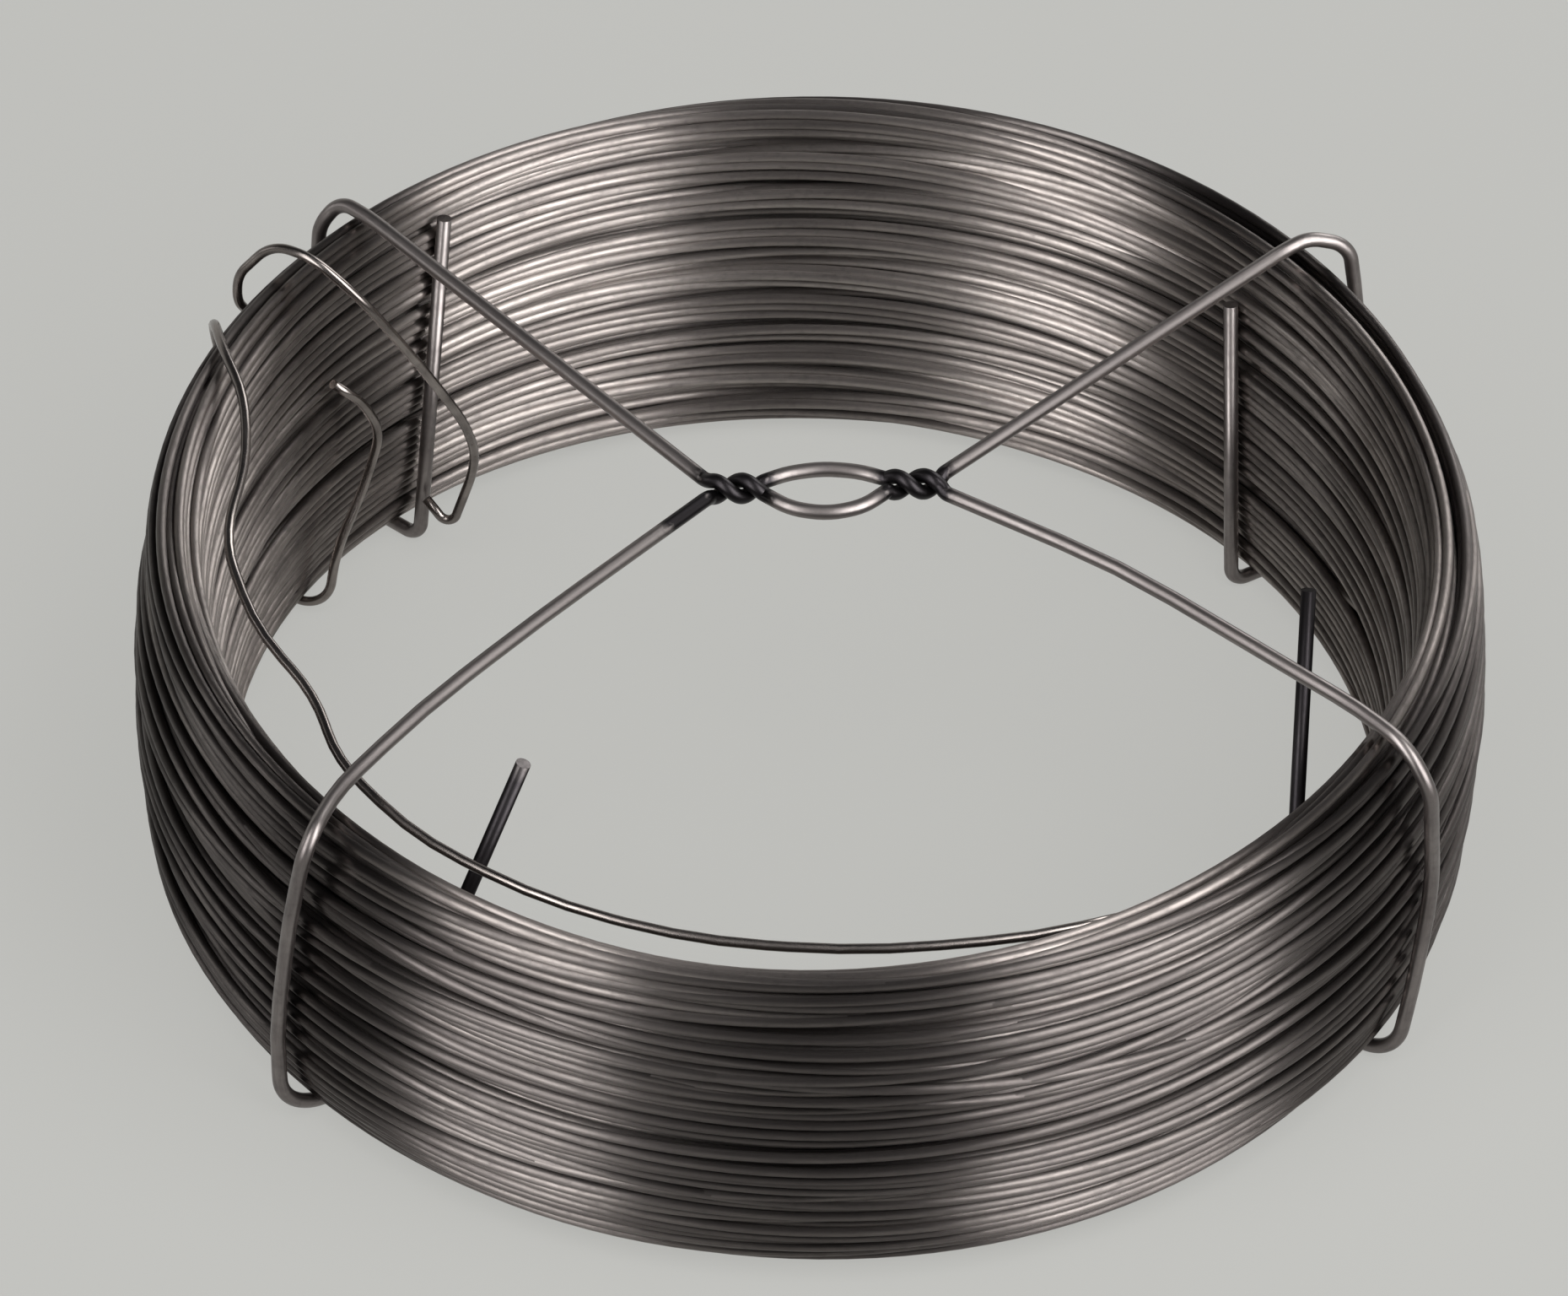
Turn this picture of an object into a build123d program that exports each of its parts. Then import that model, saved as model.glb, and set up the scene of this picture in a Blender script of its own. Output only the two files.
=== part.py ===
"""Coil of galvanized wire, lying on its end and held by a clip of two thicker wires.

The coil's axis is +Z and the floor that it lies on is Z = 0. +Y points away from the side
where both clip wires stand with loose, leaning tips. Lengths are in millimetres.
"""
from build123d import *
import os
from math import ceil, cos, hypot, radians, sin, tan

# The two kinds of wire.
coil_wire_dia = 1.2
clip_wire_dia = 1.8

# The wound ring. Its outer face bulges at mid height, and its wall is thicker at the base. Its
# turns lie loosely, a little further apart than their own diameter.
coil_outer_radius = 80.0
coil_height = 47.4
base_inset = 1.8
top_inset = 2.4
base_build = 10.2
top_build = 5.6
base_rounding = 3.6
top_rounding = 2.4
turn_pitch_share = 1.15

# The space left between pieces that rest on each other.
seat = 0.1

# The clip's middle: two twists with an eye between them, a little off the coil's axis.
eye_half_length = 7.3
eye_back_width = 3.1
eye_front_width = 4.75
eye_offset_x = 1.0
eye_offset_y = 3.1
eye_azimuth = 5.0
twist_length = 6.7
twist_radius = 1.0
twist_mouth = 1.7
clip_bend_reach = 8.0

# Places that follow from the sizes above.
coil_base = clip_wire_dia + seat
coil_top = coil_base + coil_height
base_outer_radius = coil_outer_radius - base_inset
top_outer_radius = coil_outer_radius - top_inset
base_inner_radius = base_outer_radius - base_build
top_inner_radius = top_outer_radius - top_build
clip_height = coil_top + seat + clip_wire_dia / 2

# Straight stretches of a wire's route are joined by arcs that use up to this share of them.
bend_share = 0.45


def inner_wall(height_share):
    """Radius of the bore at a share of the coil's height."""
    slope_height = coil_height - base_rounding - top_rounding
    along_share = (height_share * coil_height - base_rounding) / slope_height
    along_share = min(max(along_share, 0), 1)
    return base_inner_radius + along_share * (top_inner_radius - base_inner_radius)


def polar(radius, azimuth, height):
    return Vector(radius * cos(radians(azimuth)), radius * sin(radians(azimuth)), height)


def beside_coil(zone, share, stand_share, azimuth, wire_dia):
    """Centre of a wire that passes the ring, standing off it by a share of its own diameter.

    Outside and inside the ring the first share is of the coil's height, and over the rim it
    is of the rim's width, counted from the bore. At a foot the wire passes under the ring.
    """
    off = seat + wire_dia / 2 + stand_share * wire_dia
    if zone == "over":
        return polar(top_inner_radius + share * top_build, azimuth, coil_top + off)
    height = coil_base + share * coil_height
    if zone.endswith("foot"):
        height = coil_base - seat - wire_dia / 2
    if zone.startswith("outside"):
        return polar(coil_outer_radius + off, azimuth, height)
    return polar(inner_wall(share) - off, azimuth, height)


def route_beside_coil(places, wire_dia):
    return [beside_coil(*place, wire_dia) for place in places]


def bend_radii(points, largest_reach):
    """One radius for each corner of a route, whose arc starts at up to a reach before it."""
    radii = []
    for before, corner, after in zip(points, points[1:], points[2:]):
        first_run = corner - before
        second_run = after - corner
        reach = min(largest_reach, bend_share * min(first_run.length, second_run.length))
        half_turn = radians(first_run.get_angle(second_run)) / 2
        radii.append(reach / tan(half_turn))
    return radii


def draw_wire(points, wire_dia, largest_reach):
    """Sweep a round wire along straight runs joined by tangent arcs."""
    with BuildLine() as route:
        FilletPolyline(*points, radius=bend_radii(points, largest_reach))
    with BuildSketch(Plane(origin=points[0], z_dir=points[1] - points[0])) as section:
        Circle(wire_dia / 2)
    sweep(sections=section.sketch, path=route.wire())


# The coil: one long wire wound into a ring, made as one turned solid. The outermost turns
# show on its faces and on both ends as ridges with six-sided crowns.
turn_radius = coil_wire_dia / 2


def rounded_corner(radius, height, rounding, outward, upward):
    """Centres of the turns at one corner of the section, as radius and height."""
    centres = []
    for turn in (0, 45, 90):
        reach = rounding - turn_radius
        centres.append((
            radius + outward * (reach * cos(radians(turn)) - rounding),
            height + upward * (reach * sin(radians(turn)) - rounding),
        ))
    return centres if outward * upward < 0 else centres[::-1]


section_corners = [
    *rounded_corner(top_outer_radius, coil_top, top_rounding, 1, 1),
    (coil_outer_radius - turn_radius, coil_base + coil_height / 2),
    *rounded_corner(base_outer_radius, coil_base, base_rounding, 1, -1),
    *rounded_corner(base_inner_radius, coil_base, base_rounding, -1, -1),
    *rounded_corner(top_inner_radius, coil_top, top_rounding, -1, 1),
]
turn_centres = []
for start, end in zip(section_corners, section_corners[1:] + section_corners[:1]):
    stretch = hypot(end[0] - start[0], end[1] - start[1])
    steps = ceil(stretch / (coil_wire_dia * turn_pitch_share))
    for step in range(steps):
        share = step / steps
        turn_centres.append((
            start[0] + share * (end[0] - start[0]),
            start[1] + share * (end[1] - start[1]),
        ))


def outward_normal(start, end):
    """Unit normal of a stretch of the section's outline, which runs clockwise."""
    stretch = hypot(end[0] - start[0], end[1] - start[1])
    return ((start[1] - end[1]) / stretch, (end[0] - start[0]) / stretch)


def turn_corners(before, centre, after):
    """Half a hexagon inside one turn, after the groove that parts it from the turn before."""
    normal = outward_normal(before, after)
    rise = turn_radius * cos(radians(30))
    half_side = turn_radius * sin(radians(30))
    corners = [((before[0] + centre[0]) / 2, (before[1] + centre[1]) / 2)]
    for side in (-half_side, half_side):
        corners.append((
            centre[0] + rise * normal[0] + side * normal[1],
            centre[1] + rise * normal[1] - side * normal[0],
        ))
    return corners


section_outline = []
for index, centre in enumerate(turn_centres):
    after = turn_centres[(index + 1) % len(turn_centres)]
    section_outline += turn_corners(turn_centres[index - 1], centre, after)

with BuildPart() as coil:
    with BuildSketch(Plane.XZ):
        with BuildLine():
            Polyline(*section_outline, close=True)
        make_face()
    revolve(axis=Axis.Z)
coil.part.label = "coil"

# The coil wire's outer end: it leaves the outer face, stands in a loop over the rim and comes
# down inside the bore, where its bent tip lies against the foot of a clip wire.
outer_end_shares = [
    ("outside", 0.59, -0.3, 143.8),
    ("outside", 0.73, 0.2, 147.0),
    ("outside", 0.87, 0.6, 150.0),
    ("outside", 0.94, 0.9, 149.4),
    ("over", 1.10, 1.4, 148.0),
    ("over", 0.02, 2.1, 148.0),
    ("inside", 0.97, 4.6, 146.8),
    ("inside", 0.70, 6.8, 141.0),
    ("inside", 0.44, 7.1, 135.3),
    ("inside", 0.28, 6.1, 133.1),
    ("inside", 0.07, 4.5, 136.4),
    ("inside", 0.14, 1.9, 137.2),
]
with BuildPart() as outer_end:
    draw_wire(route_beside_coil(outer_end_shares, coil_wire_dia), coil_wire_dia, coil_outer_radius)
outer_end.part.label = "outer_end"

# The coil wire's inner end: a free turn inside the rim, which goes over the rim and once
# round the ring to bind it.
inner_end_shares = [
    ("inside", 0.90, 0.0, -58.0),
    ("inside", 0.90, 1.2, -68.0),
    ("inside", 0.91, 2.0, -84.0),
    ("inside", 0.91, 2.2, -100.0),
    ("inside", 0.91, 2.2, -115.0),
    ("inside", 0.91, 2.3, -130.0),
    ("inside", 0.92, 3.2, -142.5),
    ("inside", 0.92, 5.8, -151.8),
    ("inside", 0.93, 3.4, -162.7),
    ("inside", 0.94, 1.8, -175.4),
    ("inside", 0.97, 3.4, 174.5),
    ("over", -0.50, 0.3, 167.5),
    ("over", 0.50, 0.4, 161.5),
    ("over", 1.12, -1.0, 157.5),
    ("outside", 0.91, -0.2, 155.0),
    ("outside", 0.76, 0.0, 153.5),
    ("outside", 0.50, 0.1, 152.6),
    ("outside", 0.21, 0.0, 152.4),
    ("outside foot", 0.0, 0.0, 152.3),
    ("inside foot", 0.0, 0.0, 152.0),
    ("inside", 0.17, 0.5, 150.3),
    ("inside", 0.30, 1.2, 145.5),
    ("inside", 0.45, 2.0, 143.0),
    ("inside", 0.55, 1.0, 144.1),
    ("inside", 0.65, 0.0, 147.2),
]
with BuildPart() as inner_end:
    draw_wire(route_beside_coil(inner_end_shares, coil_wire_dia), coil_wire_dia, coil_outer_radius)
inner_end.part.label = "inner_end"

# The clip: two bent wires, twisted round each other on both sides of the eye. Each arm runs
# over the rim, down the outer face, under the ring and up inside it.
hook_back_left_shares = [
    ("over", 0.2, 0.3, 138.9),
    ("over", 1.03, 0.1, 138.9),
    ("outside", 0.95, -0.8, 140.2),
    ("outside", 0.75, -0.3, 140.0),
    ("outside", 0.50, 0.1, 139.2),
    ("outside", 0.20, 0.0, 138.5),
    ("outside foot", 0.0, 0.0, 137.8),
    ("inside foot", 0.0, 0.0, 136.8),
    ("inside", 0.08, 0.0, 136.4),
    ("inside", 0.93, 0.0, 130.6),
]
hook_back_right_shares = [
    ("over", 0.1, 0.4, 40.6),
    ("over", 0.76, 0.7, 40.2),
    ("outside", 1.02, -0.3, 38.2),
    ("outside", 0.80, 0.1, 36.8),
    ("outside", 0.30, 0.1, 37.0),
    ("outside foot", 0.0, 0.0, 38.4),
    ("inside foot", 0.0, 0.0, 39.6),
    ("inside", 0.08, 0.0, 40.0),
    ("inside", 0.80, 0.0, 45.3),
]
hook_front_left_shares = [
    ("over", -6.1, 0.3, -145.1),
    ("over", -2.55, 0.3, -139.5),
    ("over", 0.28, 0.0, -136.2),
    ("outside", 1.02, 0.5, -133.0),
    ("outside", 0.70, 0.1, -135.7),
    ("outside", 0.26, 0.0, -137.8),
    ("outside foot", 0.0, -0.3, -137.6),
    ("inside foot", 0.0, 0.8, -136.0),
    ("inside", 0.93, 10.5, -128.3),
]
hook_front_right_shares = [
    ("over", -6.4, 0.3, -15.2),
    ("over", -0.27, 0.1, -26.9),
    ("over", 1.03, 0.0, -28.8),
    ("outside", 0.93, 0.5, -29.6),
    ("outside", 0.50, 0.0, -25.8),
    ("outside", 0.20, -0.1, -27.8),
    ("outside foot", 0.0, -0.5, -29.1),
    ("inside foot", 0.0, 1.3, -27.2),
    ("inside", 0.93, 7.1, -7.1),
]
eye_shares = [(-0.58, 0.78), (0, 1), (0.58, 0.78)]
twist_steps = 8
turn_step = 360 / twist_steps


def clip_point(along, across, lift):
    """A place near the clip's middle, along the line of the twists and across it."""
    level = Plane(
        origin=(eye_offset_x, eye_offset_y, clip_height),
        x_dir=(cos(radians(eye_azimuth)), sin(radians(eye_azimuth)), 0),
        z_dir=(0, 0, 1),
    )
    return level.from_local_coords(Vector(along, across, lift))


def twist_points(first_along, side):
    """One full turn of a wire about the other, which is on its far side all the way."""
    points = []
    for step in range(twist_steps + 1):
        along = first_along + twist_length * step / twist_steps
        turn = radians(turn_step * step)
        points.append(clip_point(along, side * twist_radius * cos(turn), side * twist_radius * sin(turn)))
    return points


def clip_route(left_hook, right_hook, side, eye_width):
    """From one tip to the other, with the hooks listed from the arm to the tip."""
    clip_half_length = eye_half_length + twist_length
    eye = [
        clip_point(along * eye_half_length, side * across * eye_width, 0)
        for along, across in eye_shares
    ]
    return [
        *reversed(route_beside_coil(left_hook, clip_wire_dia)),
        clip_point(-clip_half_length, side * twist_mouth, 0),
        *twist_points(-clip_half_length, side)[1:],
        *eye,
        *twist_points(eye_half_length, side)[:-1],
        clip_point(clip_half_length, side * twist_mouth, 0),
        *route_beside_coil(right_hook, clip_wire_dia),
    ]


with BuildPart() as clip_wire_a:
    clip_route_a = clip_route(hook_back_left_shares, hook_back_right_shares, 1, eye_back_width)
    draw_wire(clip_route_a, clip_wire_dia, clip_bend_reach)
clip_wire_a.part.label = "clip_wire_a"

with BuildPart() as clip_wire_b:
    clip_route_b = clip_route(hook_front_left_shares, hook_front_right_shares, -1, eye_front_width)
    draw_wire(clip_route_b, clip_wire_dia, clip_bend_reach)
clip_wire_b.part.label = "clip_wire_b"

os.makedirs("parts", exist_ok=True)
export_step(coil.part, "parts/coil.step")
export_step(outer_end.part, "parts/outer_end.step")
export_step(inner_end.part, "parts/inner_end.step")
export_step(clip_wire_a.part, "parts/clip_wire_a.step")
export_step(clip_wire_b.part, "parts/clip_wire_b.step")
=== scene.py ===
"""Coil of galvanized wire on a plain pale floor, held by a clip of two thicker wires."""
import math
import bpy
import numpy as np
from mathutils import Matrix, Vector


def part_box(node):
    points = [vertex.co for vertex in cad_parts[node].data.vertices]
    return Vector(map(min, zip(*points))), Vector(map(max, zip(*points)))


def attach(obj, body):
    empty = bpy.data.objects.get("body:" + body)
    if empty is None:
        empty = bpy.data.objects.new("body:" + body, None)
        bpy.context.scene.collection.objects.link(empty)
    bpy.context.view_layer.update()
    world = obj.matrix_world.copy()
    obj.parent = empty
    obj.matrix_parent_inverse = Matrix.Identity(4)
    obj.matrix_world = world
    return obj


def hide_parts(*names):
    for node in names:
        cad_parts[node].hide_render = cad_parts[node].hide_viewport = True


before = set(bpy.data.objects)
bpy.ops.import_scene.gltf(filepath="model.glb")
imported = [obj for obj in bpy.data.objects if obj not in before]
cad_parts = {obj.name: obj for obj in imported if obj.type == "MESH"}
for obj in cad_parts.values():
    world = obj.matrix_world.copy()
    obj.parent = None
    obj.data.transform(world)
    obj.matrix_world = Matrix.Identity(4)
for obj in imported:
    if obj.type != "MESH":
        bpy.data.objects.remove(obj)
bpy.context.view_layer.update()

# The coil is one long drawn steel wire with a dull zinc coat. It was wound in layers from the
# bore outwards and lies loosely, so its turns drift up and down, cross each other at slight
# angles and leave long dark gaps.
mm = 0.001
coil_wire_dia = 1.2 * mm
coil_low, coil_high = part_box("coil")
coil_radius = coil_high.x
coil_base = coil_low.z
coil_top = coil_high.z
coil_height = coil_top - coil_base
coil_base_inset = 1.8 * mm
coil_top_inset = 2.4 * mm
bore_base_radius = 68.0 * mm
bore_top_radius = 72.0 * mm
base_rounding = 3.6 * mm
top_rounding = 2.4 * mm
coil_turns = 225
coil_layers = 8
stations_per_turn = 144
station_angle = 360 / stations_per_turn
first_azimuth = -57.5
last_azimuth = 142.5

# The ring isn't evenly round. Each dent has its azimuth and width in degrees, and how far the
# wall is pressed in there at the base and at the rim; a minus sign means bulged out.
outer_dents = [
    (122, 30, 0.8 * mm, 1.6 * mm),
    (57, 16, 0.0, -0.9 * mm),
    (20, 16, 0.6 * mm, 0.7 * mm),
    (-12, 12, -0.7 * mm, 0.0),
    (-50, 18, 0.7 * mm, 0.0),
    (-95, 35, 1.2 * mm, 0.5 * mm),
    (-167, 12, -0.5 * mm, 0.0),
]
bore_dents = [
    (152, 25, 1.2 * mm, 0.0),
    (87, 25, -3.0 * mm, 0.0),
    (-40, 14, 0.0, -1.2 * mm),
    (-100, 35, 0.0, 1.7 * mm),
]
rim_sink = 1.4 * mm
rim_sink_azimuth = -100
rim_sink_width = 35

# How far the turns stray as the wire is wound, how they gather in clumps, and how often they
# are pushed apart and smoothed before they lie as they do.
winding_seed = 4
sways_per_turn = (0.37, 0.91, 1.08, 1.16, 1.93, 2.09, 2.87, 3.12)
wander = 2.5 * mm
bore_wander_share = 0.35
depth_wander_share = 0.3
clumps = [(5.4 * mm, 0.9, 0.4), (9.7 * mm, 0.8, 1.9)]
first_clumping = 0.8 * mm
added_clumping = 0.025 * mm
settling = 0.004 * mm
push_share = 0.4
nearby_turns = 15
winding_rounds = 200
smoothing_rounds = 12
smoothing_reaches = (3, 1)
smoothing_share = 0.3
leaving_stations = 18
leaving_wires = 2


def bump_at(azimuth, centre, width):
    """One at an azimuth and fading to nothing on both sides of it, in degrees."""
    away = (azimuth - centre + 180) % 360 - 180
    return np.exp(-(away / width) ** 2)


def dent_depth(dents, share, azimuth):
    """How far all the dents press a wall in at a share of the coil's height."""
    depth = np.zeros(len(azimuth))
    for centre, width, at_base, at_rim in dents:
        depth += (at_base + share * (at_rim - at_base)) * bump_at(azimuth, centre, width)
    return depth


def rim_height(azimuth):
    """Height of the coil's upper edge, which sinks between the clip's two front arms."""
    return coil_top - rim_sink * bump_at(azimuth, rim_sink_azimuth, rim_sink_width)


def corner_inset(rise, rounding):
    """How far a rounded edge draws a wall back at a height above that edge."""
    gap = np.clip(rounding - rise, 0, rounding)
    return rounding - np.sqrt(rounding ** 2 - gap ** 2)


def both_corners(height, azimuth):
    """How far the rounded edges at the base and the rim draw a wall back."""
    top_inset = corner_inset(rim_height(azimuth) - height, top_rounding)
    return corner_inset(height - coil_base, base_rounding) + top_inset


def outer_wall(height, azimuth):
    """Radius of the coil's bulging outer face."""
    share = (height - coil_base) / coil_height
    inset = np.where(share < 0.5, coil_base_inset, coil_top_inset) * (2 * share - 1) ** 2
    pressed = dent_depth(outer_dents, share, azimuth)
    return coil_radius - inset - pressed - both_corners(height, azimuth)


def inner_wall(height, azimuth):
    """Radius of the bore, which narrows towards the base."""
    share = (height - coil_base) / coil_height
    plain = bore_base_radius + share * (bore_top_radius - bore_base_radius)
    return plain + dent_depth(bore_dents, share, azimuth) + both_corners(height, azimuth)


def drift(rng, turn):
    """A slow random sway along the wire, with a standard deviation of one."""
    evening = 0.4
    total = np.zeros(len(turn))
    for rate in sways_per_turn:
        phase = 2 * np.pi * (rate * turn + rng.random())
        total += rng.normal() * np.sin(phase) / (evening + rate)
    return total / total.std()


def clump_sway(height, depth, azimuth):
    """A pull on each turn, up or down, that gathers the turns in clumps with gaps between."""
    turn = np.radians(azimuth)
    once_round = 0.6
    twice_round = 0.35
    through_layers = 1.7
    sway = np.zeros(len(height))
    for spacing, share, lean in clumps:
        bow = once_round * np.sin(turn + lean)
        wave = twice_round * np.sin(2 * turn + 3 * lean)
        phase = lean + bow + wave + through_layers * depth
        sway += share * np.sin(2 * np.pi * (height / spacing + phase))
    return sway * np.abs(2 * depth - 1)


def push_apart(height, radius):
    """The moves, in height and radius, that part turns which overlap at a station."""
    order = np.argsort(height, axis=1)
    z = np.take_along_axis(height, order, 1)
    r = np.take_along_axis(radius, order, 1)
    move_z = np.zeros_like(z)
    move_r = np.zeros_like(r)
    least_distance = 1e-9
    for step in range(1, nearby_turns + 1):
        dz = z[:, step:] - z[:, :-step]
        dr = r[:, step:] - r[:, :-step]
        apart = np.hypot(dz, dr) + least_distance
        push = push_share * np.maximum(0, coil_wire_dia - apart) / apart
        move_z[:, step:] += push * dz
        move_z[:, :-step] -= push * dz
        move_r[:, step:] += push * dr
        move_r[:, :-step] -= push * dr
    back = np.argsort(order, axis=1)
    return np.take_along_axis(move_z, back, 1), np.take_along_axis(move_r, back, 1)


def wind_coil(first_place, last_place):
    """Height, radius and azimuth in radians of the wire's centre, station by station."""
    rng = np.random.default_rng(winding_seed)
    last_station = (last_azimuth - first_azimuth) / station_angle
    count = (coil_turns - 1) * stations_per_turn + int(round(last_station)) + 1
    turn = np.arange(count) / stations_per_turn
    azimuth = first_azimuth + station_angle * np.arange(count)
    highest = rim_height(azimuth) - coil_wire_dia / 2
    margin = coil_wire_dia / 2

    # The wire goes up and down in layers, with more turns where the wall is thicker.
    layer = np.floor(turn / coil_turns * coil_layers)
    along = turn / coil_turns * coil_layers - layer
    along = np.where(layer % 2 == 0, along, 1 - along)
    base_build = coil_radius - coil_base_inset - bore_base_radius
    top_build = coil_radius - coil_top_inset - bore_top_radius
    taper = base_build - top_build
    mean_build = (base_build + top_build) / 2
    climb = (base_build - np.sqrt(base_build ** 2 - 2 * taper * mean_build * along)) / taper
    depth = (layer + 0.5) / coil_layers
    height = coil_base + margin + climb * (coil_height - 2 * margin)
    looser_outside = bore_wander_share + (1 - bore_wander_share) * depth
    height += wander * looser_outside * drift(rng, turn)
    height += first_clumping * clump_sway(height, depth, azimuth)
    height = np.clip(height, coil_base + margin, highest)
    bore = inner_wall(height, azimuth) + margin
    build = outer_wall(height, azimuth) - margin - bore
    radius = bore + depth * build + depth_wander_share * wander * drift(rng, turn)

    # Both ends leave the coil at the places where their free stretches begin.
    fade = np.zeros(count)
    fade[:leaving_stations] = np.cos(np.linspace(0, np.pi, leaving_stations)) / 2 + 0.5
    fade[-leaving_stations:] = fade[:leaving_stations][::-1]
    target = np.where(np.arange(count)[:, None] < count / 2, first_place, last_place)

    # The stations that the last turn lacks are filled from far off, where nothing is pushed. In
    # the last rounds the turns are only smoothed, so that no kink is left where two part.
    settle = settling * np.sign(depth - 0.5) * np.abs(2 * depth - 1)
    out_of_reach = 1.0
    whole = coil_turns * stations_per_turn
    far_off = np.arange(whole - count) * mm + out_of_reach
    for step in range(winding_rounds):
        z = np.concatenate([height, far_off]).reshape(coil_turns, stations_per_turn).T
        r = np.concatenate([radius, far_off]).reshape(coil_turns, stations_per_turn).T
        if step < winding_rounds - smoothing_rounds:
            move_z, move_r = push_apart(z, r)
            gathering = added_clumping * clump_sway(height, depth, azimuth)
            height = height + move_z.T.ravel()[:count] + gathering
            radius = radius + move_r.T.ravel()[:count] + settle
        for reach in smoothing_reaches:
            for line in (height, radius):
                middle = (line[2 * reach:] + line[:-2 * reach]) / 2
                line[reach:-reach] += smoothing_share * (middle - line[reach:-reach])
        height = np.clip(height, coil_base + margin, highest)
        height = height + fade * (target[:, 0] - height)
        free = fade * leaving_wires * coil_wire_dia
        bore = inner_wall(height, azimuth) + margin - free
        radius = np.clip(radius, bore, outer_wall(height, azimuth) - margin + free)
        radius = radius + fade * (target[:, 1] - radius)
    return height, radius, np.radians(azimuth)


def put_in_scene(name, data):
    """An object in the scene with this mesh, light or camera."""
    made = bpy.data.objects.new(name, data)
    bpy.context.scene.collection.objects.link(made)
    return made


def wire_mesh(name, centres, sideways, upward, dia, start_along, sides):
    """A round wire through the centres, with cut ends and a note of each point's place on it."""
    turn = np.linspace(0, 2 * np.pi, sides, endpoint=False)
    rings = (
        centres[:, None]
        + dia / 2 * np.cos(turn)[None, :, None] * sideways[:, None]
        + dia / 2 * np.sin(turn)[None, :, None] * upward[:, None]
    )
    count = len(centres)
    near = np.arange(count - 1)[:, None] * sides + np.arange(sides)[None]
    beside = np.arange(count - 1)[:, None] * sides + (np.arange(sides) + 1)[None] % sides
    faces = np.stack([near, beside, beside + sides, near + sides], axis=2).reshape(-1, 4)
    caps = [list(range(sides))[::-1], list(range((count - 1) * sides, count * sides))]
    mesh = bpy.data.meshes.new(name)
    mesh.from_pydata(rings.reshape(-1, 3).tolist(), [], faces.tolist() + caps)
    mesh.shade_smooth()
    for cap in mesh.polygons[-2:]:
        cap.use_smooth = False
    steps = np.linalg.norm(np.diff(centres, axis=0), axis=1)
    along = start_along + np.concatenate([[0], np.cumsum(steps)])
    place = np.empty((count, sides, 3), dtype=np.float32)
    place[:, :, 0] = along[:, None]
    place[:, :, 1] = np.cos(turn)[None] * dia / 2
    place[:, :, 2] = np.sin(turn)[None] * dia / 2
    mesh.attributes.new("place", "FLOAT_VECTOR", "POINT").data.foreach_set("vector", place.ravel())
    return put_in_scene(name, mesh), along[-1]


class Shade:
    """One output of a shader node. Sums and products of it add Math nodes."""

    def __init__(self, tree, socket=None):
        self.tree = tree
        self.socket = socket

    def node(self, kind, settings, sockets, output=0):
        """Add a node, with its settings first, then values or links for its sockets."""
        made = self.tree.nodes.new("ShaderNode" + kind)
        for name, value in settings.items():
            if name == "stops":
                ramp = made.color_ramp
                while len(ramp.elements) < len(value):
                    ramp.elements.new(1)
                for stop, (position, level) in zip(ramp.elements, value):
                    stop.position = position
                    stop.color = (level, level, level, 1)
            else:
                setattr(made, name, value)
        for name, value in sockets.items():
            if isinstance(value, Shade):
                self.tree.links.new(value.socket, made.inputs[name])
            else:
                made.inputs[name].default_value = value
        return Shade(self.tree, made.outputs[output])

    def maths(self, operation, first, second):
        return self.node("Math", {"operation": operation}, {0: first, 1: second})

    def __add__(self, other):
        return self.maths("ADD", self, other)

    def __radd__(self, other):
        return self.maths("ADD", other, self)

    def __sub__(self, other):
        return self.maths("SUBTRACT", self, other)

    def __mul__(self, other):
        return self.maths("MULTIPLY", self, other)

    def __rmul__(self, other):
        return self.maths("MULTIPLY", other, self)

    def larger(self, other):
        return self.maths("MAXIMUM", self, other)

    def scaled(self, *scales):
        return self.node("VectorMath", {"operation": "MULTIPLY"}, {0: self, 1: scales})

    def marks(self, length, width, detail=2.0, roughness=0.5):
        """Noise from 0 to 1, in marks of that length along the wire and that width across it."""
        return self.scaled(1 / length, 1 / width, 1 / width).noise(detail, roughness)

    def noise(self, detail=2.0, roughness=0.5):
        """Noise from 0 to 1, at a scale of one to the vector that is given."""
        sockets = {"Vector": self, "Scale": 1, "Detail": detail, "Roughness": roughness}
        return self.node("TexNoise", {}, sockets)

    def ramp(self, *stops):
        """Grey levels at the given positions, each stop a position and its level."""
        return self.node("ValToRGB", {"stops": stops}, {"Fac": self})

    def blend(self, first, second):
        """The first colour where this is 0 and the second where it is 1."""
        return self.node("Mix", {"data_type": "RGBA"}, {0: self, 6: first, 7: second}, 2)

    def cover(self, kind):
        """Make this shader the surface of its material or its world."""
        output = self.tree.nodes.new("ShaderNodeOutput" + kind)
        self.tree.links.new(self.socket, output.inputs["Surface"])


def new_material(name):
    """A material without nodes, and a Shade to start its nodes from."""
    material = bpy.data.materials.new(name)
    material.use_nodes = True
    material.node_tree.nodes.clear()
    return material, Shade(material.node_tree)


# The marks on the zinc: how much each one darkens or dulls it, and how deep the die left lines.
patches_per_metre = (22, 22, 240)
patch_share = 0.65
streak_share = 0.45
spot_share = 0.2
worn_share = 0.72
# The nearly black patches at the clip's twists and the painted shade on its front tips take this
# share of this colour; the painted shade fades in over the given length.
dark_patch_and_shade_share = 0.93
dark_patch_and_shade_colour = (0.012, 0.011, 0.013, 1)
painted_shade_fade = 3 * mm
dark_patch_raggedness = 1.5 * mm
streak_roughness = 0.09
spot_roughness = 0.05
die_line_strength = 0.3
die_line_depth = 0.03 * mm
blur_across_wire = 0.25


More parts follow.
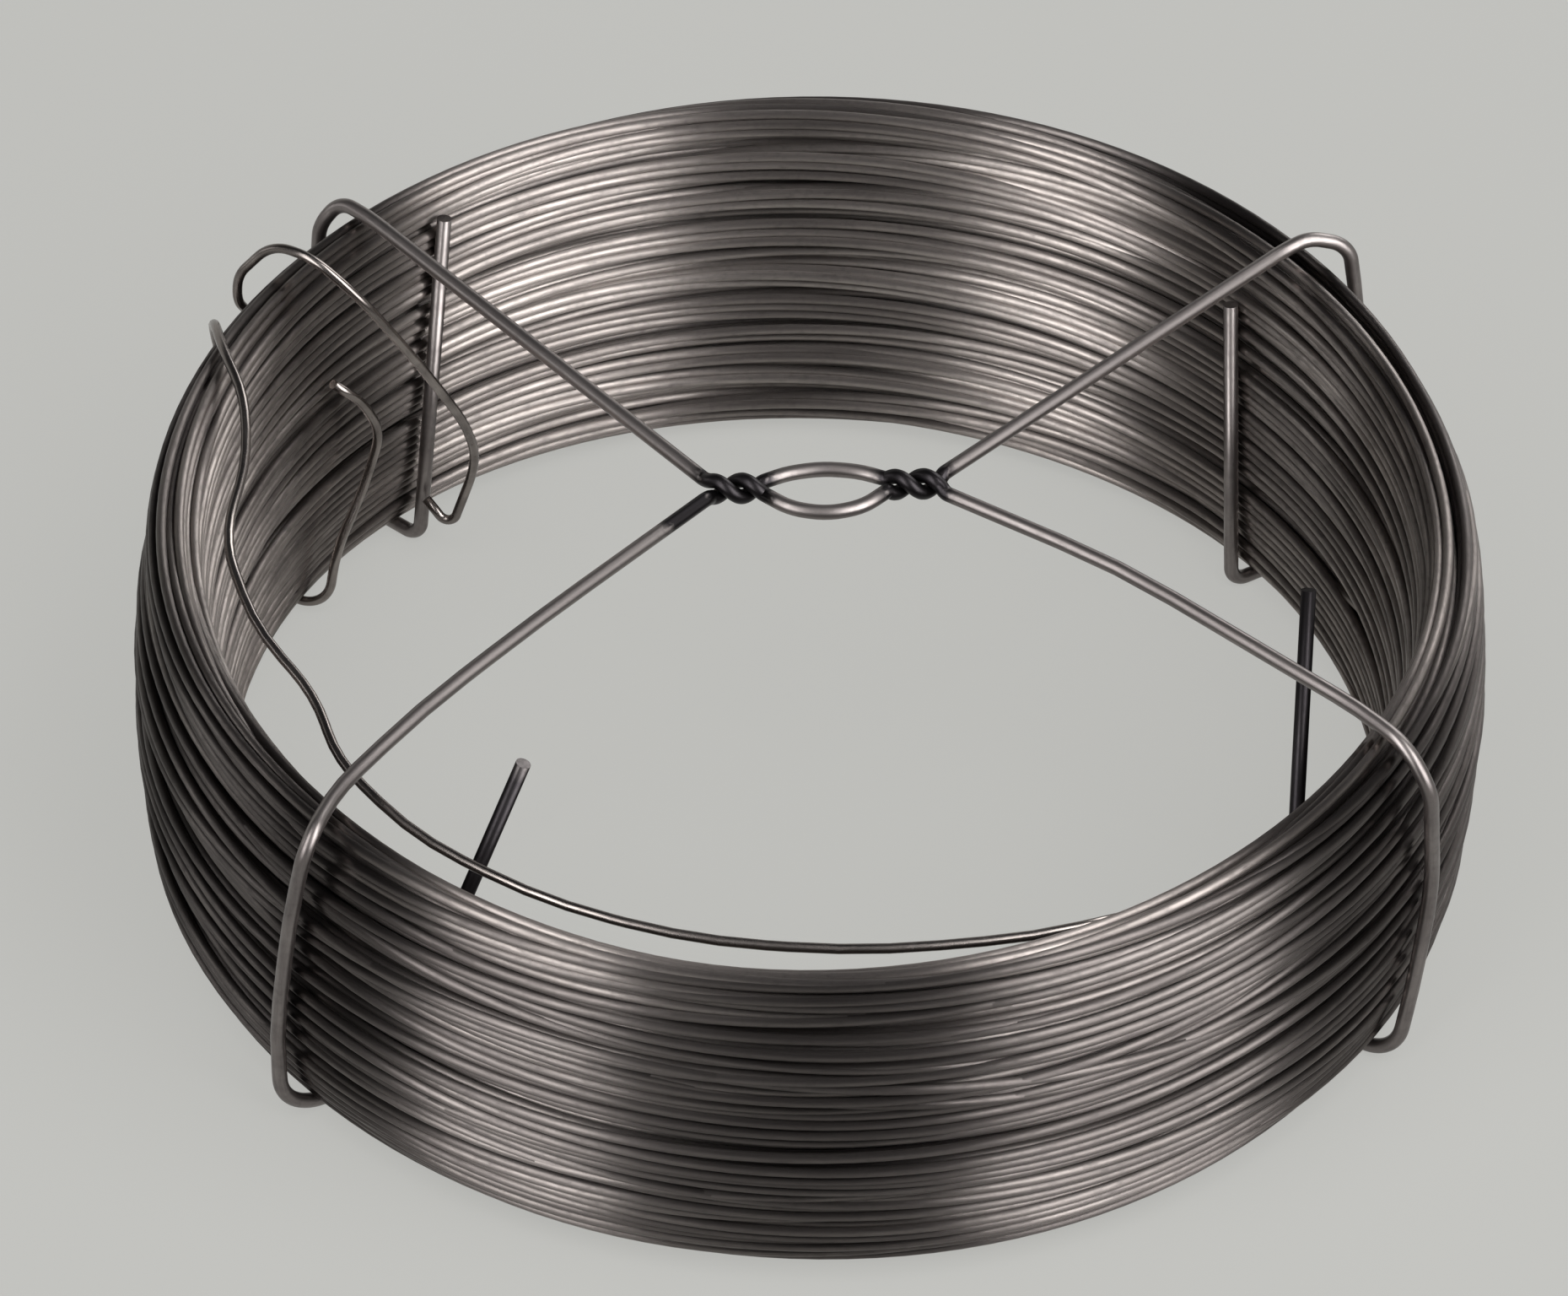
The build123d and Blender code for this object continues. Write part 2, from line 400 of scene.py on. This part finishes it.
def zinc_wire(
    name, colours, least_rough, brushing=0.0, worn_length=0.0, dark_patches=(), painted_shade_lengths=()
):
    """Drawn wire with a zinc coat, from the colours of bare zinc, dull zinc and dark streaks.

    It gets darker towards the end of its worn length. Nearly black patches lie round the given
    centres, each with its reach, and painted shade lies from one distance along it to another.
    """
    material, start = new_material(name)
    bare, dull, streaked = colours
    place = start.node("Attribute", {"attribute_name": "place"}, {}, 1)
    where = start.node("TexCoord", {}, {}, "Object")
    along = start.node("SeparateXYZ", {}, {"Vector": place}, "X")
    clouds = place.marks(length=60 * mm, width=9 * mm, detail=3).ramp((0.3, 0), (0.7, 1))
    streaks = place.marks(length=9 * mm, width=0.7 * mm, detail=4, roughness=0.6)
    streaks = streaks.ramp((0.35, 0), (0.68, 1))
    spots = place.marks(length=1.1 * mm, width=0.8 * mm).ramp((0.5, 0), (0.75, 1))
    die_lines = place.marks(length=14 * mm, width=0.1 * mm)
    patches = where.scaled(*patches_per_metre).noise(detail=3).ramp((0.38, 0), (0.62, 1))

    tone = (clouds * (1 - patch_share) + patches * patch_share).blend(bare, dull)
    tone = (streaks * streak_share + spots * spot_share).blend(tone, streaked)
    if worn_length:
        worn = (along * (1 / worn_length)).ramp((0.3, 0), (0.85, 1))
        tone = (worn * worn_share).blend(tone, streaked)
    masks = []
    for centre, reach in dark_patches:
        away = start.node("VectorMath", {"operation": "DISTANCE"}, {0: where, 1: centre}, "Value")
        ragged = away + (spots - 0.5) * dark_patch_raggedness
        masks.append((ragged * (1 / reach)).ramp((0.7, 1), (1.0, 0)))
    # Painted shade darkens the wire from one distance along it to another.
    for first, last in painted_shade_lengths:
        before, after = first - painted_shade_fade, last + painted_shade_fade
        masks.append(along.ramp((before, 0), (first, 1), (last, 1), (after, 0)))
    for mask in masks[1:]:
        masks[0] = masks[0].larger(mask)
    if masks:
        tone = (masks[0] * dark_patch_and_shade_share).blend(tone, dark_patch_and_shade_colour)

    rough = least_rough + streak_roughness * streaks + spot_roughness * spots
    bumps = {"Height": die_lines, "Strength": die_line_strength, "Distance": die_line_depth}
    zinc = {
        "Base Color": tone,
        "Metallic": 1.0,
        "Roughness": rough,
        "Normal": start.node("Bump", {}, bumps),
        "Anisotropic": brushing,
        "Anisotropic Rotation": blur_across_wire,
    }
    start.node("BsdfPrincipled", {}, zinc).cover("Material")
    return material


wire_length = coil_turns * math.pi * (coil_radius + bore_base_radius)
coil_colours = (0.37, 0.332, 0.31, 1), (0.17, 0.15, 0.14, 1), (0.05, 0.044, 0.043, 1)
coil_zinc = zinc_wire(
    "coil_zinc", coil_colours, least_rough=0.32, brushing=0.97, worn_length=wire_length
)
seat = 0.1 * mm


def bore_radius(share):
    """Plain radius of the bore at a share of the coil's height, between its rounded edges."""
    slope_height = coil_height - base_rounding - top_rounding
    along = min(max((share * coil_height - base_rounding) / slope_height, 0), 1)
    return bore_base_radius + along * (bore_top_radius - bore_base_radius)


inner_start_share = 0.90
outer_start_share = 0.59
outer_start_sink_share = 0.3
coil_rest_off = seat + coil_wire_dia / 2
outer_start_off = coil_rest_off - outer_start_sink_share * coil_wire_dia
outer_start = (coil_base + outer_start_share * coil_height, coil_radius + outer_start_off)
inner_start_radius = bore_radius(inner_start_share) - coil_rest_off
inner_start = (coil_base + inner_start_share * coil_height, inner_start_radius)
turn_height, turn_radius, turn_azimuth = wind_coil(inner_start, outer_start)
level = np.zeros(len(turn_azimuth))
out_from_axis = np.stack([np.cos(turn_azimuth), np.sin(turn_azimuth), level], axis=1)
turn_centres = out_from_axis * turn_radius[:, None]
turn_centres[:, 2] = turn_height
straight_up = np.tile([0.0, 0.0, 1.0], (len(turn_azimuth), 1))
coil_wire_sides = 8
coil_stretches = 4
stretch_length = math.ceil(len(turn_azimuth) / coil_stretches)
wire_so_far = 0
for index in range(coil_stretches):
    part = slice(index * stretch_length, (index + 1) * stretch_length + 1)
    turns, wire_so_far = wire_mesh(
        f"coil_turns_{index + 1}", turn_centres[part], out_from_axis[part], straight_up[part],
        coil_wire_dia, wire_so_far, coil_wire_sides,
    )
    turns.data.materials.append(coil_zinc)
    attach(turns, "root")
    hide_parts("coil")

# The outer end of the coil's wire leaves the outer face, stands in a loop over the rim and
# comes down inside the bore, with its tip bent back up against a leg of the clip.
rim_build = coil_radius - coil_top_inset - bore_top_radius
bend_share = 0.45
bend_step = 6
fewest_bend_steps = 2
off_upright = [0.0, 0.3, 1.0]


def beside_coil(zone, share, stand_share, azimuth, dia):
    """Centre of a wire that passes the coil, standing off it by a share of its own diameter."""
    off = seat + dia / 2 + stand_share * dia
    if zone == "over":
        radius = bore_top_radius + share * rim_build
        height = coil_top + off
    else:
        radius = coil_radius + off if zone.startswith("outside") else bore_radius(share) - off
        height = coil_base + share * coil_height
        if zone.endswith("foot"):
            height = coil_base - seat - dia / 2
    turn = math.radians(azimuth)
    return Vector((radius * math.cos(turn), radius * math.sin(turn), height))


def bent_path(corners, largest_reach):
    """Points along straight runs that are joined by tangent arcs, as the wire was bent."""
    path = [corners[0]]
    for before, corner, after in zip(corners, corners[1:], corners[2:]):
        back, ahead = before - corner, after - corner
        turn = math.pi - back.angle(ahead)
        reach = min(largest_reach, bend_share * min(back.length, ahead.length))
        bend = reach / math.tan(turn / 2)
        inward = (back.normalized() + ahead.normalized()).normalized()
        centre = corner + inward * bend / math.cos(turn / 2)
        first = (corner + back.normalized() * reach - centre).normalized()
        last = (corner + ahead.normalized() * reach - centre).normalized()
        steps = max(fewest_bend_steps, math.ceil(math.degrees(turn) / bend_step))
        path += [centre + first.slerp(last, step / steps) * bend for step in range(steps + 1)]
    return np.array(path + [corners[-1]])


def bent_wire(name, corners, dia, largest_reach, start_along, sides, material):
    """A bent wire that stands for its node, cut off square at both tips."""
    path = bent_path(corners, largest_reach)
    tangents = np.gradient(path, axis=0)
    tangents /= np.linalg.norm(tangents, axis=1)[:, None]
    side = np.cross(tangents[0], off_upright)
    sideways = []
    for tangent in tangents:
        side = side - tangent * np.dot(side, tangent)
        side /= np.linalg.norm(side)
        sideways.append(side)
    sideways = np.array(sideways)
    upward = np.cross(tangents, sideways)
    made, _ = wire_mesh(name, path, sideways, upward, dia, start_along, sides)
    made.data.materials.append(material)
    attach(made, "root")
    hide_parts(name)


outer_end_shares = [
    ("outside", 0.59, -0.3, 143.8),
    ("outside", 0.73, 0.2, 147.0),
    ("outside", 0.87, 0.6, 150.0),
    ("outside", 0.94, 0.9, 149.4),
    ("over", 1.10, 1.4, 148.0),
    ("over", 0.02, 2.1, 148.0),
    ("inside", 0.97, 4.6, 146.8),
    ("inside", 0.70, 6.8, 141.0),
    ("inside", 0.44, 7.1, 135.3),
    ("inside", 0.28, 6.1, 133.1),
    ("inside", 0.07, 4.5, 136.4),
    ("inside", 0.14, 1.9, 137.2),
]
outer_end_route = [beside_coil(*place, coil_wire_dia) for place in outer_end_shares]
end_zinc = zinc_wire("end_zinc", coil_colours, least_rough=0.2)
end_bend_reach = coil_radius
end_wire_sides = 12
bent_wire(
    "outer_end", outer_end_route, coil_wire_dia, end_bend_reach, wire_so_far, end_wire_sides,
    end_zinc,
)

# The inner end of the same wire hangs as a free turn inside the rim, then goes over the rim,
# down, under and once round the coil to bind it.
inner_end_shares = [
    ("inside", 0.90, 0.0, -58.0),
    ("inside", 0.90, 1.2, -68.0),
    ("inside", 0.91, 2.0, -84.0),
    ("inside", 0.91, 2.2, -100.0),
    ("inside", 0.91, 2.2, -115.0),
    ("inside", 0.91, 2.3, -130.0),
    ("inside", 0.92, 3.2, -142.5),
    ("inside", 0.92, 5.8, -151.8),
    ("inside", 0.93, 3.4, -162.7),
    ("inside", 0.94, 1.8, -175.4),
    ("inside", 0.97, 3.4, 174.5),
    ("over", -0.50, 0.3, 167.5),
    ("over", 0.50, 0.4, 161.5),
    ("over", 1.12, -1.0, 157.5),
    ("outside", 0.91, -0.2, 155.0),
    ("outside", 0.76, 0.0, 153.5),
    ("outside", 0.50, 0.1, 152.6),
    ("outside", 0.21, 0.0, 152.4),
    ("outside foot", 0.0, 0.0, 152.3),
    ("inside foot", 0.0, 0.0, 152.0),
    ("inside", 0.17, 0.5, 150.3),
    ("inside", 0.30, 1.2, 145.5),
    ("inside", 0.45, 2.0, 143.0),
    ("inside", 0.55, 1.0, 144.1),
    ("inside", 0.65, 0.0, 147.2),
]
inner_end_route = [beside_coil(*place, coil_wire_dia) for place in inner_end_shares]
bent_wire(
    "inner_end", inner_end_route, coil_wire_dia, end_bend_reach, 0, end_wire_sides,
    end_zinc,
)

# The clip is two thicker wires of the same kind, bent by hand tools. They are twisted round
# each other on both sides of an eye, and each arm hooks over the rim and under the coil.
clip_wire_dia = 1.8 * mm
eye_half_length = 7.3 * mm
eye_back_width = 3.1 * mm
eye_front_width = 4.75 * mm
eye_offset = Vector((1.0 * mm, 3.1 * mm, coil_top + seat + clip_wire_dia / 2))
eye_azimuth = math.radians(5)
twist_length = 6.7 * mm
twist_radius = 1.0 * mm
twist_mouth = 1.7 * mm
twist_steps = 12
clip_bend_reach = 8.0 * mm
hook_back_left_shares = [
    ("over", 0.2, 0.3, 138.9),
    ("over", 1.03, 0.1, 138.9),
    ("outside", 0.95, -0.8, 140.2),
    ("outside", 0.75, -0.3, 140.0),
    ("outside", 0.50, 0.1, 139.2),
    ("outside", 0.20, 0.0, 138.5),
    ("outside foot", 0.0, 0.0, 137.8),
    ("inside foot", 0.0, 0.0, 136.8),
    ("inside", 0.08, 0.0, 136.4),
    ("inside", 0.93, 0.0, 130.6),
]
hook_back_right_shares = [
    ("over", 0.1, 0.4, 40.6),
    ("over", 0.76, 0.7, 40.2),
    ("outside", 1.02, -0.3, 38.2),
    ("outside", 0.80, 0.1, 36.8),
    ("outside", 0.30, 0.1, 37.0),
    ("outside foot", 0.0, 0.0, 38.4),
    ("inside foot", 0.0, 0.0, 39.6),
    ("inside", 0.08, 0.0, 40.0),
    ("inside", 0.80, 0.0, 45.3),
]
hook_front_left_shares = [
    ("over", -6.1, 0.3, -145.1),
    ("over", -2.55, 0.3, -139.5),
    ("over", 0.28, 0.0, -136.2),
    ("outside", 1.02, 0.5, -133.0),
    ("outside", 0.70, 0.1, -135.7),
    ("outside", 0.26, 0.0, -137.8),
    ("outside foot", 0.0, -0.3, -137.6),
    ("inside foot", 0.0, 0.8, -136.0),
    ("inside", 0.93, 10.5, -128.3),
]
hook_front_right_shares = [
    ("over", -6.4, 0.3, -15.2),
    ("over", -0.27, 0.1, -26.9),
    ("over", 1.03, 0.0, -28.8),
    ("outside", 0.93, 0.5, -29.6),
    ("outside", 0.50, 0.0, -25.8),
    ("outside", 0.20, -0.1, -27.8),
    ("outside foot", 0.0, -0.5, -29.1),
    ("inside foot", 0.0, 1.3, -27.2),
    ("inside", 0.93, 7.1, -7.1),
]
eye_shares = [(-0.58, 0.78), (0, 1), (0.58, 0.78)]


def clip_point(along, across, lift):
    """A place near the clip's middle, along the line of the twists and across it."""
    flat = Matrix.Rotation(eye_azimuth, 3, "Z") @ Vector((along, across, lift))
    return eye_offset + flat


def twist_points(first_along, side):
    """One full turn of a wire about the other, which is on its far side all the way."""
    points = []
    for step in range(twist_steps + 1):
        turn = 2 * math.pi * step / twist_steps
        along = first_along + twist_length * step / twist_steps
        across = side * twist_radius * math.cos(turn)
        lift = side * twist_radius * math.sin(turn)
        points.append(clip_point(along, across, lift))
    return points


def clip_route(left_hook, right_hook, side, eye_width):
    """From one tip to the other, with the hooks listed from the arm to the tip."""
    clip_half_length = eye_half_length + twist_length
    eye = [clip_point(x * eye_half_length, side * y * eye_width, 0) for x, y in eye_shares]
    return [
        *[beside_coil(*place, clip_wire_dia) for place in reversed(left_hook)],
        clip_point(-clip_half_length, side * twist_mouth, 0),
        *twist_points(-clip_half_length, side)[1:],
        *eye,
        *twist_points(eye_half_length, side)[:-1],
        clip_point(clip_half_length, side * twist_mouth, 0),
        *[beside_coil(*place, clip_wire_dia) for place in right_hook],
    ]


back_wire = clip_route(hook_back_left_shares, hook_back_right_shares, 1, eye_back_width)
front_wire = clip_route(hook_front_left_shares, hook_front_right_shares, -1, eye_front_width)

# The clip's zinc is nearly black at the twists and on the left arm beside them. The front wire's
# two tips, which stand inside the bore, are nearly black with painted shade. The front wire's
# lengths begin at a start of their own, so that only it shows the painted shade on its tips.
twist_middle = eye_half_length + twist_length / 2
left_twist = clip_point(-twist_middle, 0, 0)
right_twist = clip_point(twist_middle, 0, 0)
left_twist_reach = 5.2 * mm
right_twist_reach = 5.0 * mm
arm_dark_along = -twist_middle - 6.4 * mm
arm_dark_across = -3.4 * mm
arm_dark_reach = 4.6 * mm
left_arm = clip_point(arm_dark_along, arm_dark_across, 0)
front_wire_start = 0.4
front_runs = zip(front_wire, front_wire[1:])
front_wire_length = sum((after - before).length for before, after in front_runs)
front_wire_end = front_wire_start + front_wire_length
# Painted shade covers this much of the front wire from each of its tips inside the bore.
left_tip_painted_shade = 38 * mm
right_tip_painted_shade = 60 * mm
past_tip = 20 * mm
clip_colours = (0.27, 0.245, 0.235, 1), (0.18, 0.16, 0.155, 1), (0.065, 0.057, 0.056, 1)
clip_zinc = zinc_wire(
    "clip_zinc", clip_colours, least_rough=0.32,
    dark_patches=(
        (left_twist, left_twist_reach),
        (right_twist, right_twist_reach),
        (left_arm, arm_dark_reach),
    ),
    painted_shade_lengths=(
        (front_wire_start, front_wire_start + left_tip_painted_shade),
        (front_wire_end - right_tip_painted_shade, front_wire_end + past_tip),
    ),
)
clip_wire_sides = 20
bent_wire(
    "clip_wire_a", back_wire, clip_wire_dia, clip_bend_reach, 0, clip_wire_sides,
    clip_zinc,
)
bent_wire(
    "clip_wire_b", front_wire, clip_wire_dia, clip_bend_reach, front_wire_start, clip_wire_sides,
    clip_zinc,
)

# The floor is a plain pale sheet. Camera and mirror rays see mostly its own glow, which thins
# the shadow and keeps some of it.
pale = (0.55, 0.55, 0.527, 1)
paper_colour = (0.21, 0.21, 0.202, 1)
glow_share = 0.78
floor_size = 6.0
half = floor_size / 2
floor_corners = [(-half, -half, 0), (half, -half, 0), (half, half, 0), (-half, half, 0)]
floor_mesh = bpy.data.meshes.new("floor")
floor_mesh.from_pydata(floor_corners, [], [(0, 1, 2, 3)])
floor = put_in_scene("floor", floor_mesh)


def ray_masks(start):
    """One for the camera's rays, for mirror rays and for rays that pass through."""
    kinds = "Is Camera Ray", "Is Glossy Ray", "Is Transmission Ray"
    return [start.node("LightPath", {}, {}, kind) for kind in kinds]


floor_sheet, sheet = new_material("floor_sheet")
direct, mirrored, passing = ray_masks(sheet)
seen = direct.larger(mirrored).larger(passing)
paper = sheet.node("BsdfDiffuse", {}, {"Color": paper_colour})
glow = sheet.node("Emission", {}, {"Color": pale, "Strength": 1.0})
sheet.node("MixShader", {}, {0: seen * glow_share, 1: paper, 2: glow}).cover("Material")
floor.data.materials.append(floor_sheet)

# The room is evenly pale to the camera. Mirror rays see its pale walls and a dark ceiling that
# comes down lower in front and on the left, and it gives a low soft light.
ceiling_colour = (0.03, 0.03, 0.032, 1)
room_light = (0.22, 0.22, 0.22, 1)
lower_in_front = 0.3
lower_on_left = 0.1
world = bpy.data.worlds.new("room")
bpy.context.scene.world = world
world.use_nodes = True
world.node_tree.nodes.clear()
room = Shade(world.node_tree)
direct, mirrored, passing = ray_masks(room)
heading = room.node("TexCoord", {}, {}, "Generated")
x, y, z = [room.node("SeparateXYZ", {}, {"Vector": heading}, axis) for axis in "XYZ"]
rise = z - lower_in_front * y - lower_on_left * x
walls = rise.ramp((0.1, 0), (0.4, 1)).blend(pale, ceiling_colour)
colour = mirrored.blend(room_light, walls)
colour = direct.larger(passing).blend(colour, pale)
room.node("Background", {}, {"Color": colour, "Strength": 1.0}).cover("World")

# Soft lamps stand round the coil: two tall ones in front, which the wires show as their bright
# stretches, a small one at the back, and a weak low one on the left.
coil_middle = Vector((0, 0, coil_base + coil_height / 2))
lamp_distance = 0.9


def soft_lamp(name, azimuth, elevation, width, height, power):
    """A lamp that faces the coil; azimuth 0 is on the camera's side and 90 on the right."""
    light = bpy.data.lights.new(name, "AREA")
    light.shape = "RECTANGLE"
    light.size = width
    light.size_y = height
    light.energy = power
    lamp = put_in_scene(name, light)
    turn = math.radians(azimuth)
    tilt = math.radians(elevation)
    level = math.cos(tilt)
    away = Vector((math.sin(turn) * level, -math.cos(turn) * level, math.sin(tilt)))
    lamp.location = coil_middle + away * lamp_distance
    lamp.rotation_mode = "QUATERNION"
    lamp.rotation_quaternion = (-away).to_track_quat("-Z", "Y")


soft_lamp("left_lamp", azimuth=-40, elevation=42, width=0.5, height=1.3, power=14.5)
soft_lamp("right_lamp", azimuth=51, elevation=42, width=0.72, height=1.3, power=22.5)
soft_lamp("back_lamp", azimuth=150, elevation=30, width=0.5, height=0.5, power=3.5)
soft_lamp("left_low_lamp", azimuth=-95, elevation=14, width=0.34, height=0.25, power=0.6)

# A dark cloth hangs in an arch over the coil, out of the camera's sight, wide on the camera's
# side and narrow at the back. The wires show it as a dark band at the front and at the back.
arch_radius = 0.7
arch_front_width = 0.66
arch_back_width = 0.36
arch_start = 5
arch_sweep = 150
arch_steps = 24
cloth_colour = (0.007, 0.009, 0.014, 1)
arch_points = []
for step in range(arch_steps + 1):
    share = step / arch_steps
    turn = math.radians(arch_start + arch_sweep * share)
    half_width = (arch_front_width + share * (arch_back_width - arch_front_width)) / 2
    for side in (-half_width, half_width):
        arch_points.append((side, -arch_radius * math.cos(turn), arch_radius * math.sin(turn)))
arch_faces = [(2 * step, 2 * step + 1, 2 * step + 3, 2 * step + 2) for step in range(arch_steps)]
arch_mesh = bpy.data.meshes.new("dark_arch")
arch_mesh.from_pydata(arch_points, [], arch_faces)
dark_arch = put_in_scene("dark_arch", arch_mesh)
dark_arch.visible_camera = False
dark_arch.visible_diffuse = False
dark_arch.visible_shadow = False
black_cloth, cloth = new_material("black_cloth")
cloth.node("BsdfDiffuse", {}, {"Color": cloth_colour}).cover("Material")
dark_arch.data.materials.append(black_cloth)

# The camera looks down on the coil from the front through a long lens. It is rolled a little
# and aims just left of the coil's middle, as the photograph was framed.
camera_data = bpy.data.cameras.new("camera")
camera_data.sensor_width = 36
photo_width = 1859
focal_pixels = 11211
camera_data.lens = focal_pixels / photo_width * camera_data.sensor_width
camera_distance = 1120 * mm
camera_elevation = math.radians(43.19)
camera_roll = 0.0343
aim_left = 3.13 * mm
aim_up = 1.19 * mm
camera = put_in_scene("camera", camera_data)
back = Vector((0, -math.cos(camera_elevation), math.sin(camera_elevation)))
camera.location = coil_middle + back * camera_distance
right = Vector((1, 0, 0))
up = back.cross(right)
rolled_right = math.cos(camera_roll) * right + math.sin(camera_roll) * up
rolled_up = math.cos(camera_roll) * up - math.sin(camera_roll) * right
aim = coil_middle - aim_left * rolled_right + aim_up * rolled_up
back = (camera.location - aim).normalized()
rolled_right = rolled_up.cross(back).normalized()
rolled_up = back.cross(rolled_right)
turned = Matrix((rolled_right, rolled_up, back)).transposed()
camera.rotation_mode = "QUATERNION"
camera.rotation_quaternion = turned.to_quaternion()
bpy.context.scene.camera = camera
bpy.context.scene.view_settings.view_transform = "Standard"
